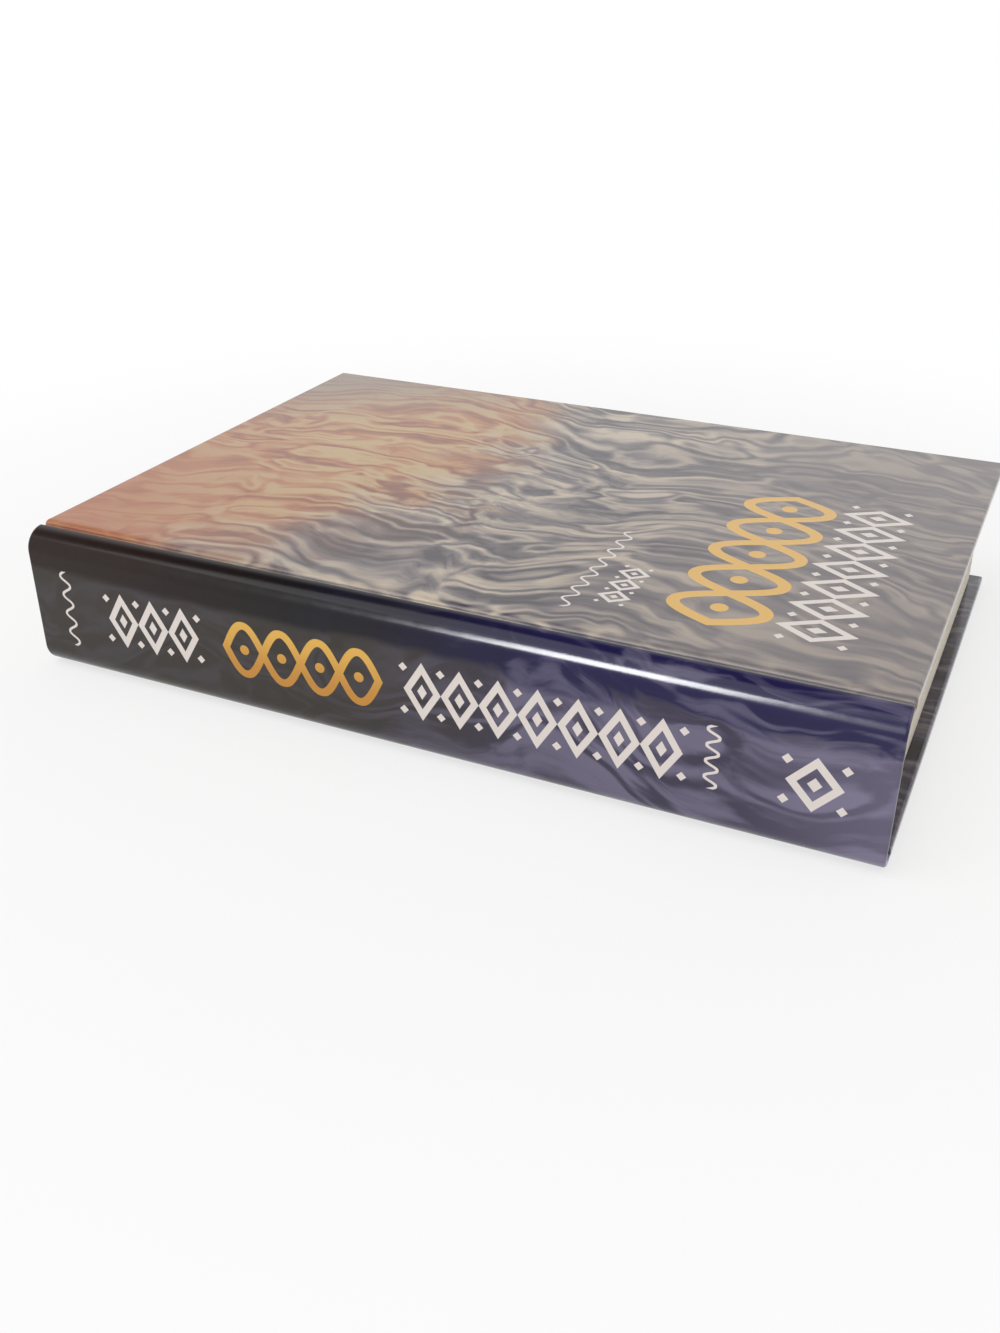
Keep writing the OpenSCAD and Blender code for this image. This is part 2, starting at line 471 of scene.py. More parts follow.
class BOOK_OT_cover_papers(bpy.types.Operator):
    """Printed paper of both covers, which rises out of the groove at the hinge"""

    bl_idname = "book.cover_papers"
    bl_label = "Cover Papers"

    def execute(self, context):
        surfaces = cover_paper_surfaces()
        turned = [upside_down(points) for points in surfaces]
        for side, made, material in (
                ("front", surfaces, front_print()), ("back", turned, back_print())):
            paper = new_piece(side + "_cover_paper", *[grid(points) for points in made])
            give_wall(paper, PAPER_T, -1)
            smooth_faces(paper)
            paper.data.materials.append(material)
            bend_at_hinge(paper, side)
            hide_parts(side + "_covering")
        return {"FINISHED"}


# The notch between two leaves as a share of a leaf, the leaves of a section, how far sections and
# drift lie back as shares of the jitter, the height in which the drift turns, and counts of points
PAGE_SEED = 11
NOTCH_SHARE = 0.06
SECTION_LEAVES = 13
SECTION_SHARE = 0.4
DRIFT_SHARE = 0.3
DRIFT_LENGTH = 4 * MM
LONG_SIDE_POINTS = 25
SHORT_SIDE_POINTS = 19


def page_block_surface():
    """The cut pages: two rings for each leaf, every ring a rectangle that lies back from the cut faces
    by its leaf's own distance, with the spine's shoulders as quarter circles across the stack. Sections
    of leaves lie back together by the height of a sine, and the cut drifts round the block by another."""
    leaves = shape().leaf_count
    jitter = shape().leaf_jitter
    chance = np.random.default_rng(PAGE_SEED)
    leaf_t = 2 * (LEAF_Z - MID_Z) / leaves
    bottom = 2 * MID_Z - LEAF_Z
    starts = bottom + leaf_t * np.arange(leaves)
    notch = NOTCH_SHARE * leaf_t
    z = np.stack([starts + notch, starts + leaf_t - notch], axis=1).reshape(-1)
    z[0] = bottom
    z[-1] = LEAF_Z
    section = SECTION_SHARE * (1 + np.sin(2 * np.pi * np.arange(leaves) / SECTION_LEAVES)) * jitter
    back = chance.random((3, leaves)) * jitter + section
    head, tail, fore = np.repeat(back, 2, axis=1)[:, :, None]
    past = np.clip(np.abs(z - MID_Z) - (LEAF_Z - MID_Z - PAGES_R), 0, PAGES_R)
    spine_y = (PAGE_Y + PAGES_R - np.sqrt(PAGES_R**2 - past**2))[:, None]
    along = np.linspace(-1, 1, LONG_SIDE_POINTS)[:-1]
    deep = np.linspace(0, 1, SHORT_SIDE_POINTS)[:-1]
    unit_x = np.concatenate([along, np.ones_like(deep), -along, -np.ones_like(deep)])[None, :]
    unit_y = np.concatenate([np.zeros_like(along), deep, np.ones_like(along), 1 - deep])[None, :]
    drift = DRIFT_SHARE * jitter * np.abs(np.sin(3 * unit_y + 2 * unit_x + z[:, None] / DRIFT_LENGTH))
    half = PAGE_X - np.where(unit_x > 0, tail, head) - drift
    depth = FORE_Y - fore - drift - spine_y
    return closed_tube(stacked(unit_x * half, spine_y + unit_y * depth, z[:, None]))


class BOOK_OT_page_block(bpy.types.Operator):
    """All the pages, with the edges of their leaves"""

    bl_idname = "book.page_block"
    bl_label = "Page Block"

    def execute(self, context):
        pages = new_piece("page_block", page_block_surface())
        pages.data.materials.append(page_paper())
        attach(pages, "book_block")
        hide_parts("text_block")
        return {"FINISHED"}


LEAF_FOLD_POINTS = 16
LEAF_ROWS = 40
LEAF_COLUMNS = 12


def flyleaf_surface():
    """Middle of the front flyleaf: half a circle where it folds back over itself, then flat."""
    fold_r = (PASTE_Z - LEAF_Z) / 2
    fold_y = CREST_Y + LEAF_T / 2 + fold_r
    turn = np.linspace(0, np.pi, LEAF_FOLD_POINTS)
    flat_y = np.linspace(fold_y, FORE_Y, LEAF_ROWS)[1:]
    y = np.concatenate([fold_y - fold_r * np.sin(turn), flat_y])
    z = LEAF_Z + LEAF_T / 2 + fold_r + np.concatenate(
        [fold_r * np.cos(turn), np.full_like(flat_y, -fold_r)])
    x = np.linspace(-PAGE_X, PAGE_X, LEAF_COLUMNS)[None, :]
    return stacked(x, y[:, None], z[:, None])


# Width of the ramps in the pastedown, and how far past the spine's crest it starts to bend
RAMP = 1.0 * MM


def ramped(distance):
    """From 0 to 1 over the width of a ramp."""
    return np.clip(distance / RAMP, 0, 1)


def stretches(first, *rest):
    """Places from the first one on, through pairs of a next place and how many points reach it."""
    places = [np.array([first])]
    for end, count in rest:
        places.append(np.linspace(places[-1][-1], end, count)[1:])
    return np.concatenate(places)


def pastedown_surface():
    """Middle of the front pastedown: level over the folded-in paper and the hinge cloth, and sunk to
    the board between them, with a straight ramp where one becomes the other."""
    window_x = CASE_X - shape().turn_in
    window_y = EDGE_Y - shape().turn_in
    half = stretches(0, (CLOTH_X, 12), (window_x, 7), (PAGE_X, 8))
    x = np.concatenate([-half[:0:-1], half])[None, :]
    y = stretches(
        CREST_Y + PASTE_Z - LEAF_Z, (COVER_Y, 36), (COVER_Y + RAMP, 4), (CLOTH_Y, 10),
        (CLOTH_Y + RAMP, 4), (window_y - RAMP, 24), (window_y, 4), (FORE_Y, 6))[:, None]
    in_window = ramped(window_x - np.abs(x)) * ramped(window_y - y) * ramped(y - COVER_Y)
    on_cloth = ramped(CLOTH_X + RAMP - np.abs(x)) * ramped(CLOTH_Y + RAMP - y)
    sunk = in_window * (1 - on_cloth)
    z = PASTE_Z + LEAF_T / 2 + (BOARD_Z - INLAY_Z) * sunk
    return stacked(x, y, z)


class BOOK_OT_endpapers(bpy.types.Operator):
    """Flyleaves on the pages and pastedowns on the covers"""

    bl_idname = "book.endpapers"
    bl_label = "Endpapers"

    def execute(self, context):
        leaf = flyleaf_surface()
        pasted = pastedown_surface()
        paper = end_paper()
        for side, leaf_points, pasted_points in (
                ("front", leaf, pasted), ("back", upside_down(leaf), upside_down(pasted))):
            flyleaf = new_piece(side + "_leaf", grid(leaf_points))
            give_wall(flyleaf, LEAF_T, 0)
            smooth_faces(flyleaf)
            flyleaf.data.materials.append(paper)
            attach(flyleaf, "book_block")
            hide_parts(side + "_flyleaf")
            pastedown = new_piece(side + "_pasted_leaf", grid(pasted_points))
            give_wall(pastedown, LEAF_T, 0)
            smooth_faces(pastedown)
            pastedown.data.materials.append(paper)
            bend_at_hinge(pastedown, side)
            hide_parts(side + "_pastedown")
        return {"FINISHED"}


def round_the_pages(offset, straight_points, arc_points):
    """A path across the spine of the pages, offset from them: an arc round the back shoulder, a
    straight stretch and an arc round the front shoulder. Gives places and outward directions."""
    radius = PAGES_R + offset
    centre_z = LEAF_Z - PAGES_R
    turn = np.linspace(0, np.pi / 2, arc_points)
    straight = np.linspace(2 * MID_Z - centre_z, centre_z, straight_points)[1:-1]
    out_y = np.concatenate([-np.sin(turn), -np.ones_like(straight), -np.cos(turn)])
    out_z = np.concatenate([-np.cos(turn), np.zeros_like(straight), np.sin(turn)])
    base_z = np.concatenate([np.full_like(turn, 2 * MID_Z - centre_z), straight,
                             np.full_like(turn, centre_z)])
    path = np.stack([CREST_Y + radius * out_y, base_z + radius * out_z], axis=1)
    return path, np.stack([out_y, out_z], axis=1)


# How much a stitch swells the bead, how far it leans, and points along and round the bead
SWELL = 0.12
LEAN = 0.5
BEAD_POINTS = (230, 70)
ROUND_POINTS = 21

# Points along a band's tape, and how thick the tape is at its edges, as a share of the cloth
TAPE_POINTS = (12, 14)
TAPE_EDGE = 0.02


def bead_surface(end):
    """A tube carried round the path across the pages, at the head (-1) or the tail (1). Its radius
    swells once for each stitch, as the size of a sine, and the stitches lean a little round the tube."""
    radius = shape().bead_d / 2
    path, outward = round_the_pages(CLOTH_T - radius, *BEAD_POINTS)
    steps = np.linalg.norm(np.diff(path, axis=0), axis=1)
    run = np.concatenate([[0], np.cumsum(steps)])[:, None]
    angle = np.linspace(0, 2 * np.pi, ROUND_POINTS)[None, :-1]
    stitch = np.abs(np.sin(np.pi * run / shape().thread_pitch + LEAN * np.sin(angle)))
    swollen = radius * (1 - SWELL + SWELL * np.sqrt(stitch))
    x = end * (PAGE_X + radius + swollen * np.cos(angle))
    y = path[:, :1] + outward[:, :1] * swollen * np.sin(angle)
    z = path[:, 1:] + outward[:, 1:] * swollen * np.sin(angle)
    return closed_tube(stacked(x, y, z)[::end])


def tape_surface(end):
    """The tape of a band: a flat loop round its thickness and length, carried round the pages."""
    inner_x = PAGE_X - shape().tape_len
    outer_x = PAGE_X + shape().bead_d / 2
    lift = np.array([TAPE_EDGE, 1, 1, TAPE_EDGE]) * CLOTH_T
    along = np.array([inner_x, inner_x, outer_x, outer_x])
    path, outward = round_the_pages(0, *TAPE_POINTS)
    y = path[:, :1] + outward[:, :1] * lift
    z = path[:, 1:] + outward[:, 1:] * lift
    return closed_tube(stacked(end * along[None, :], y, z)[::end])


class BOOK_OT_bands(bpy.types.Operator):
    """Sewn bands at head and tail, each a bead with its tape"""

    bl_idname = "book.bands"
    bl_label = "Head and Tail Bands"

    def execute(self, context):
        thread = band_thread()
        for name, node, end in (("head_band", "headband", -1), ("tail_band", "tailband", 1)):
            band = new_piece(name, bead_surface(end), tape_surface(end))
            smooth_faces(band, sharp_degrees=50)
            band.data.materials.append(thread)
            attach(band, "book_block")
            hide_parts(node)
        return {"FINISHED"}


class BOOK_OT_inner_materials(bpy.types.Operator):
    """Finishes of the boards, the cloth and the lining, whose shapes stay as packed"""

    bl_idname = "book.inner_materials"
    bl_label = "Boards, Cloth and Lining"

    def execute(self, context):
        board = greyboard()
        cloth = spine_cloth()
        finishes = {
            "spine_board": board, "front_board": board, "back_board": board,
            "spine_cloth": cloth, "front_hinge_cloth": cloth, "back_hinge_cloth": cloth,
            "spine_lining": kraft_paper(),
        }
        for node, material in finishes.items():
            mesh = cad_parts[node].data
            mesh.materials.clear()
            mesh.materials.append(material)
        return {"FINISHED"}


# Materials

class Graph:
    """Adds nodes to one shader tree. A value is another node's socket, or a plain number or colour."""

    def __init__(self, tree):
        self.tree = tree

    def feed(self, value, socket):
        if isinstance(value, bpy.types.NodeSocket):
            self.tree.links.new(value, socket)
        else:
            socket.default_value = value

    def add(self, kind, inputs=None, **settings):
        node = self.tree.nodes.new(kind)
        for name, value in settings.items():
            setattr(node, name, value)
        for name, value in (inputs or {}).items():
            self.feed(value, node.inputs[name])
        return node

    def math(self, operation, *values):
        return self.add("ShaderNodeMath", dict(enumerate(values)), operation=operation).outputs[0]

    def plus(self, first, second):
        return self.math("ADD", first, second)

    def less(self, first, second):
        return self.math("SUBTRACT", first, second)

    def times(self, first, second):
        return self.math("MULTIPLY", first, second)

    def over(self, first, second):
        return self.math("DIVIDE", first, second)

    def larger(self, first, second):
        return self.math("MAXIMUM", first, second)

    def size(self, value):
        return self.math("ABSOLUTE", value)

    def squared(self, value):
        return self.math("POWER", self.size(value), 2.0)

    def root(self, value):
        return self.math("SQRT", value)

    def vector(self, operation, *values):
        return self.add("ShaderNodeVectorMath", dict(enumerate(values)), operation=operation).outputs[0]

    def scaled(self, vector, factor):
        inputs = {"Vector": vector, "Scale": factor}
        return self.add("ShaderNodeVectorMath", inputs, operation="SCALE").outputs[0]

    def step(self, value, start, end):
        """Rises smoothly from 0 to 1 as the value goes from start to end."""
        inputs = {"Value": value, "From Min": start, "From Max": end}
        return self.add("ShaderNodeMapRange", inputs, interpolation_type="SMOOTHSTEP").outputs[0]

    def mix(self, factor, first, second):
        """From the first colour to the second; each is a socket or three plain values."""
        inputs = {0: factor}
        for index, value in ((6, first), (7, second)):
            inputs[index] = value if isinstance(value, bpy.types.NodeSocket) else rgba(value)
        return self.add("ShaderNodeMix", inputs, data_type="RGBA").outputs[2]

    def noise(self, vector, scale, detail=2.0, roughness=0.5):
        """Outputs of a noise: first its value, then its colour."""
        inputs = {"Vector": vector, "Scale": scale, "Detail": detail, "Roughness": roughness}
        return self.add("ShaderNodeTexNoise", inputs).outputs

    def ramp(self, factor, *stops):
        """A colour for each value: stops are pairs of a place and a colour."""
        node = self.add("ShaderNodeValToRGB", {"Fac": factor})
        elements = node.color_ramp.elements
        for place, value in stops[2:]:
            elements.new(place)
        for element, (place, value) in zip(elements, stops):
            element.position = place
            element.color = rgba(value)
        return node.outputs[0]

    def parts(self, vector):
        return self.add("ShaderNodeSeparateXYZ", {0: vector}).outputs

    def joined(self, x, y, z):
        return self.add("ShaderNodeCombineXYZ", {0: x, 1: y, 2: z}).outputs[0]

    def group(self, tree, **inputs):
        node = self.add("ShaderNodeGroup", node_tree=tree)
        for name, value in inputs.items():
            self.feed(value, node.inputs[name])
        return node.outputs

    def place_mm(self):
        """Object coordinates in millimetres."""
        return self.scaled(self.add("ShaderNodeTexCoord").outputs["Object"], PER_MM)


def shader_group(name, inputs, outputs, build):
    """A node group built once: inputs pair a name with a default, and build gives the outputs."""
    tree = bpy.data.node_groups.get(name)
    if tree is not None:
        return tree
    tree = bpy.data.node_groups.new(name, "ShaderNodeTree")
    for label, default in inputs.items():
        kind = "NodeSocketFloat" if isinstance(default, (int, float)) else "NodeSocketVector"
        tree.interface.new_socket(label, in_out="INPUT", socket_type=kind).default_value = default
    for label in outputs:
        tree.interface.new_socket(label, in_out="OUTPUT", socket_type="NodeSocketFloat")
    graph = Graph(tree)
    source = tree.nodes.new("NodeGroupInput").outputs
    results = build(graph, source)
    sink = tree.nodes.new("NodeGroupOutput")
    for label, value in zip(outputs, results):
        graph.feed(value, sink.inputs[label])
    return tree


# Pushes that bend the strands: scale of the noise, and how far it moves a place, in mm
PUSHES = ((0.011, 62.0), (0.045, 13.0))

# Strands of paint: direction in degrees, changes to a mm along and across it, and detail
STRAND = (28, 0.016, 0.15, 3.0)
HAIR = (40, 0.05, 0.62, 4.0)
ROPE = (31, 0.009, 0.075, 1.5)
STRAND_ROUGHNESS = 0.57
STRAND_CONTRAST = (0.32, 0.69)
ROPE_BANDS = 7
DRIFT_SCALE = 0.02

# Their shares of the tone
STRAND_SHARE = 0.42
HAIR_SHARE = 0.15
ROPE_SHARE = 0.43


def flow_group():
    """Strands of paint that flow past each other: noise stretched along a direction, on a plane whose
    places have first been pushed about by two coarser noises. Ropes are the sine of such a noise."""

    def build(g, source):
        place = source["Place"]
        for scale, push in PUSHES:
            pushed = g.vector("SUBTRACT", g.noise(place, scale)[1], (0.5, 0.5, 0.5))
            place = g.vector("ADD", place, g.scaled(pushed, push))

        def painted(degrees, along, across, detail):
            stretched = g.add("ShaderNodeMapping", {
                "Vector": place, "Rotation": (0, 0, math.radians(degrees)),
                "Scale": (along, across, across)})
            return g.noise(stretched.outputs[0], 1.0, detail, STRAND_ROUGHNESS)[0]

        strand = g.step(painted(*STRAND), *STRAND_CONTRAST)
        hair = g.step(painted(*HAIR), *STRAND_CONTRAST)
        turns = g.times(painted(*ROPE), 2 * math.pi * ROPE_BANDS)
        rope = g.times(g.plus(g.math("SINE", turns), 1.0), 0.5)
        tone = g.plus(g.times(strand, STRAND_SHARE), g.times(hair, HAIR_SHARE))
        tone = g.plus(tone, g.times(rope, ROPE_SHARE))
        drift = g.less(g.noise(place, DRIFT_SCALE)[0], 0.5)
        return strand, tone, drift

    return shader_group("Flowing strands", {"Place": (0, 0, 0)}, ("Strand", "Tone", "Drift"), build)


# A row of motifs: place along it and across it, then the motifs' pitch, count, height to either side
# and stroke, all but the count in mm
MOTIF_INPUTS = {"Along": 0.0, "Across": 0.0, "Pitch": 10.0, "Count": 3.0, "Height": 7.0, "Stroke": 2.0}
SOFT_MM = 0.05

# Lozenges: size of the core, place of the small ones between as a share of the height, and their size
# in strokes. Twist: size of the dots as a share of the height
CORE_SHARE = 0.26
FILLER_PLACE = 0.74
FILLER_STROKES = 0.7
DOT_SHARE = 0.17


def inked(g, depth):
    """1 inside a shape and 0 outside it, from how deep in the shape a place lies, in millimetres."""
    return g.step(depth, -SOFT_MM, SOFT_MM)


def from_centre(g, source):
    """Distance along a row from the centre of this place's motif, or of the last one past the ends."""
    cell = g.math("FLOOR", g.over(source["Along"], source["Pitch"]))
    cell = g.math("MINIMUM", g.larger(cell, 0.0), g.less(source["Count"], 1.0))
    return g.less(source["Along"], g.times(g.plus(cell, 0.5), source["Pitch"]))


def room_left(g, source):
    """Distance to the nearer end of a row, negative past it."""
    length = g.times(source["Pitch"], source["Count"])
    return g.math("MINIMUM", source["Along"], g.less(length, source["Along"]))


def slope_length(g, rise):
    """Length of a slope that rises this much over a run of one."""
    return g.root(g.plus(g.squared(rise), 1.0))


def lozenge_group():
    """A row of lozenge outlines with small solid lozenges in and between them. A lozenge is where the
    shares of half the pitch and of the height add up to less than one."""

    def build(g, source):
        half = g.times(source["Pitch"], 0.5)
        across = g.over(g.size(source["Across"]), source["Height"])
        offset = g.size(from_centre(g, source))
        share = g.plus(g.over(offset, half), across)
        slope = g.root(g.plus(g.squared(g.over(1.0, half)), g.squared(g.over(1.0, source["Height"]))))
        half_stroke = g.times(source["Stroke"], 0.5)
        line = g.less(1.0, g.times(half_stroke, slope))
        off = g.over(g.size(g.less(share, line)), slope)
        outline = inked(g, g.less(half_stroke, off))
        core = inked(g, g.over(g.less(CORE_SHARE, share), slope))
        beside = g.size(g.less(half, offset))
        above = g.times(g.size(g.less(across, FILLER_PLACE)), source["Height"])
        reach = g.times(source["Stroke"], FILLER_STROKES)
        filler = inked(g, g.less(reach, g.plus(beside, above)))
        return (g.larger(g.larger(outline, core), filler),)

    return shader_group("Row of lozenges", MOTIF_INPUTS, ("Mask",), build)


def twist_group():
    """Two strands twisted round each other, with a dot in each eye. A strand lies where the distance
    from a sine, divided by the slope's length, is under half the stroke; past the ends of the row only
    what lies in both strands stays, which closes it with a point."""

    def build(g, source):
        half_stroke = g.times(source["Stroke"], 0.5)
        swing = g.less(source["Height"], half_stroke)
        phase = g.times(g.over(source["Along"], source["Pitch"]), math.pi)
        rise = g.over(g.times(g.math("COSINE", phase), swing), source["Pitch"])
        slope = slope_length(g, g.times(rise, math.pi))
        left = room_left(g, source)
        strand = g.times(g.times(g.size(g.math("SINE", phase)), swing), g.math("SIGN", left))
        gap = g.size(g.less(g.size(source["Across"]), strand))
        strands = inked(g, g.less(half_stroke, g.over(gap, slope)))
        strands = g.times(strands, inked(g, g.plus(left, source["Stroke"])))
        distance = g.root(g.plus(g.squared(from_centre(g, source)), g.squared(source["Across"])))
        dot = inked(g, g.less(g.times(source["Height"], DOT_SHARE), distance))
        return (g.larger(strands, dot),)

    return shader_group("Twist of two strands", MOTIF_INPUTS, ("Mask",), build)


def wave_group():
    """A thin wavy line of some length: where the distance from a sine, divided by the slope's length,
    is under half the stroke."""

    def build(g, source):
        phase = g.times(g.over(source["Along"], source["Pitch"]), 2 * math.pi)
        gap = g.size(g.less(source["Across"], g.times(g.math("SINE", phase), source["Height"])))
        rise = g.over(g.times(g.math("COSINE", phase), source["Height"]), source["Pitch"])
        slope = slope_length(g, g.times(rise, 2 * math.pi))
        line = inked(g, g.less(g.times(source["Stroke"], 0.5), g.over(gap, slope)))
        return (g.times(line, inked(g, room_left(g, source))),)

    return shader_group("Wavy line", MOTIF_INPUTS, ("Mask",), build)


# The film's waves, specks and rubbed places, in changes to a mm, and its roughness
FILM_WAVES = 0.09
FILM_SPECKS = 1.7
FILM_RUBS = 0.3
FILM_ROUGHNESS = 0.11
RUBBED_ROUGHNESS = 0.12


def film_group():
    """Glossy film on print: faint waves and specks in its height, and slight changes of gloss."""

    def build(g, source):
        place = source["Place"]
        wave = g.noise(place, FILM_WAVES)[0]
        speck = g.noise(place, FILM_SPECKS, 3.0)[0]
        height = g.plus(g.times(wave, 0.8), g.times(speck, 0.05))
        rub = g.times(g.noise(place, FILM_RUBS, 5.0)[0], RUBBED_ROUGHNESS)
        return height, g.plus(FILM_ROUGHNESS, rub)

    return shader_group("Laminate film", {"Place": (0, 0, 0)}, ("Height", "Roughness"), build)


# Mottling, grain and flecks of paper, in changes to a mm
CLOUD_SCALE = 0.25
GRAIN_SCALE = 3.0
FLECK_SCALE = 0.9


def fibre_group():
    """Paper and board: two scales of mottling and short dark flecks."""

    def build(g, source):
        place = g.scaled(source["Place"], source["Scale"])
        cloud = g.noise(place, CLOUD_SCALE, 4.0)[0]
        grain = g.noise(place, GRAIN_SCALE, 4.0, 0.65)[0]
        cells = g.add("ShaderNodeTexVoronoi", {"Vector": place, "Scale": FLECK_SCALE})
        fleck = g.times(g.step(cells.outputs["Distance"], 0.16, 0.05), g.step(grain, 0.45, 0.7))
        return g.plus(g.times(cloud, 0.5), g.times(grain, 0.5)), fleck, grain

    inputs = {"Place": (0, 0, 0), "Scale": 1.0}
    return shader_group("Paper fibre", inputs, ("Tone", "Fleck", "Height"), build)


def finished_material(name, build, **plain):
    """A material with one Principled shader: build links what varies, plain numbers go on its sockets."""
    made = bpy.data.materials.get(name)
    if made is not None:
        return made
    made = bpy.data.materials.new(name)
    made.use_nodes = True
    made.node_tree.nodes.clear()
    g = Graph(made.node_tree)
    shader = g.add("ShaderNodeBsdfPrincipled")
    for label, value in plain.items():
        shader.inputs[label.replace("_", " ")].default_value = value
    for label, value in build(g, g.place_mm()).items():
        g.feed(value, shader.inputs[label])
    g.add("ShaderNodeOutputMaterial", {"Surface": shader.outputs[0]})
    return made


def bumped(g, height, strength, distance_mm):
    inputs = {"Height": height, "Strength": strength, "Distance": distance_mm * MM}
    return g.add("ShaderNodeBump", inputs).outputs[0]


def filmed(g, place, base):
    """Sockets of a printed paper: its colour, and the gloss and faint waves of the film over it."""
    film = g.group(film_group(), Place=place)
    return {"Base Color": base, "Roughness": film["Roughness"],
            "Normal": bumped(g, film["Height"], 0.25, 0.2)}


def with_rows(g, base, rows):
    """A colour with rows of motifs over it. Each row gives its group, the coordinate along it and its
    start there, the coordinate across it and its centre there, then pitch, count, height, stroke, ink."""
    for motif, along, start, across, centre, pitch, count, height, stroke, paint in rows:
        mask = g.group(
            motif(), Along=g.less(along, start), Across=g.less(across, centre),
            Pitch=pitch, Count=count, Height=height, Stroke=stroke)["Mask"]
        base = g.mix(mask, base, paint)
    return base


# The front print's warm inks give way to the cool ones from the first of these places along X to the
# second, in mm; the border leans with Y and wanders with the strands
BORDER = (-52.0, 0.0)
BORDER_LEAN = -0.22
BORDER_DRIFT = 95.0
BORDER_RAGS = 16.0
COAT = 0.15
COAT_ROUGHNESS = 0.1

# Where the film is dull over a cover's lip, in mm from the lip, and how much rougher it is there
LIP_DULL = (2.5, 0.5)
LIP_ROUGHNESS = 0.35


def front_print():
    """Warm strands at the head and cool ones at the tail: an orange glow by the spine at the head, grey
    in the corner across from it, quieter strands under the rows of motifs, and a dull lip."""

    def build(g, place):
        ink_of = colours()
        x, y = g.parts(place)[:2]
        flow = g.group(flow_group(), Place=place)
        tone = flow["Tone"]
        warm = g.ramp(tone, (0.12, ink_of.warm_deep), (0.4, ink_of.warm_mid), (0.72, ink_of.warm_pale))
        cool = g.ramp(tone, (0.12, ink_of.cool_deep), (0.42, ink_of.cool_mid), (0.88, ink_of.cool_pale))
        glow = g.step(g.plus(x, g.times(y, 0.7)), -60.0, -150.0)
        warm = g.mix(g.times(glow, 0.75), warm, ink_of.warm_bright)
        far = g.step(g.less(y, g.times(x, 0.6)), 70.0, 140.0)
        warm = g.mix(g.times(far, 0.7), warm, ink_of.cool_mid)
        rags = g.plus(g.times(flow["Drift"], BORDER_DRIFT), g.times(flow["Strand"], BORDER_RAGS))
        border = g.plus(g.plus(x, rags), g.times(y, BORDER_LEAN))
        base = g.mix(g.step(border, *BORDER), warm, cool)
        quiet = g.step(x, 10.0, 80.0)
        base = g.mix(g.times(quiet, 0.6), base, ink_of.cool_mid)
        base = with_rows(g, base, (
            (twist_group, y, -54.0, x, 62.0, 15.8, 5, 12.0, 3.0, ink_of.gold),
            (lozenge_group, y, -54.0, x, 84.0, 11.4, 7, 9.0, 1.7, ink_of.cream),
            (lozenge_group, y, -54.0, x, 39.0, 6.7, 3, 4.0, 1.0, ink_of.cream),
            (wave_group, y, -60.0, x, 30.0, 5.75, 8, 1.4, 0.6, ink_of.cream),
        ))
        made = filmed(g, place, base)
        lip = g.step(g.less(y, COVER_Y * PER_MM), *LIP_DULL)
        made["Roughness"] = g.plus(made["Roughness"], g.times(lip, LIP_ROUGHNESS))
        made["Coat Weight"] = g.times(g.less(1.0, lip), COAT)
        return made

    return finished_material("front_cover_print", build, Coat_Roughness=COAT_ROUGHNESS)


def back_print():
    """Dark strands all over the back cover, taken from another place in the flow."""

    def build(g, place):
        ink_of = colours()
        flow = g.group(flow_group(), Place=g.vector("ADD", place, (310.0, 90.0, 40.0)))
        base = g.ramp(
            flow["Tone"], (0.1, ink_of.night_ink_and_painted_shade), (0.5, ink_of.spine_violet), (0.95, ink_of.cool_mid))
        return filmed(g, place, base)

    return finished_material("back_cover_print", build, Coat_Weight=COAT, Coat_Roughness=COAT_ROUGHNESS)


# The spine print turns from the head's inks to the tail's between two places along X, has its dark
# band above the edge between two heights, and its motifs along one line, all in mm. That dark band is
# the spine's dark ink with painted reflection in it: the dark room mirrored in the curved upper shoulder
SPINE_TURN = (-25.0, 60.0)
SPINE_DRIFT = 70.0
BAND_EDGE = (27.0, 29.6)
BAND_TURN = (-100.0, 60.0)
BAND_RAGS = 7.0
LINE_Z = 18.5


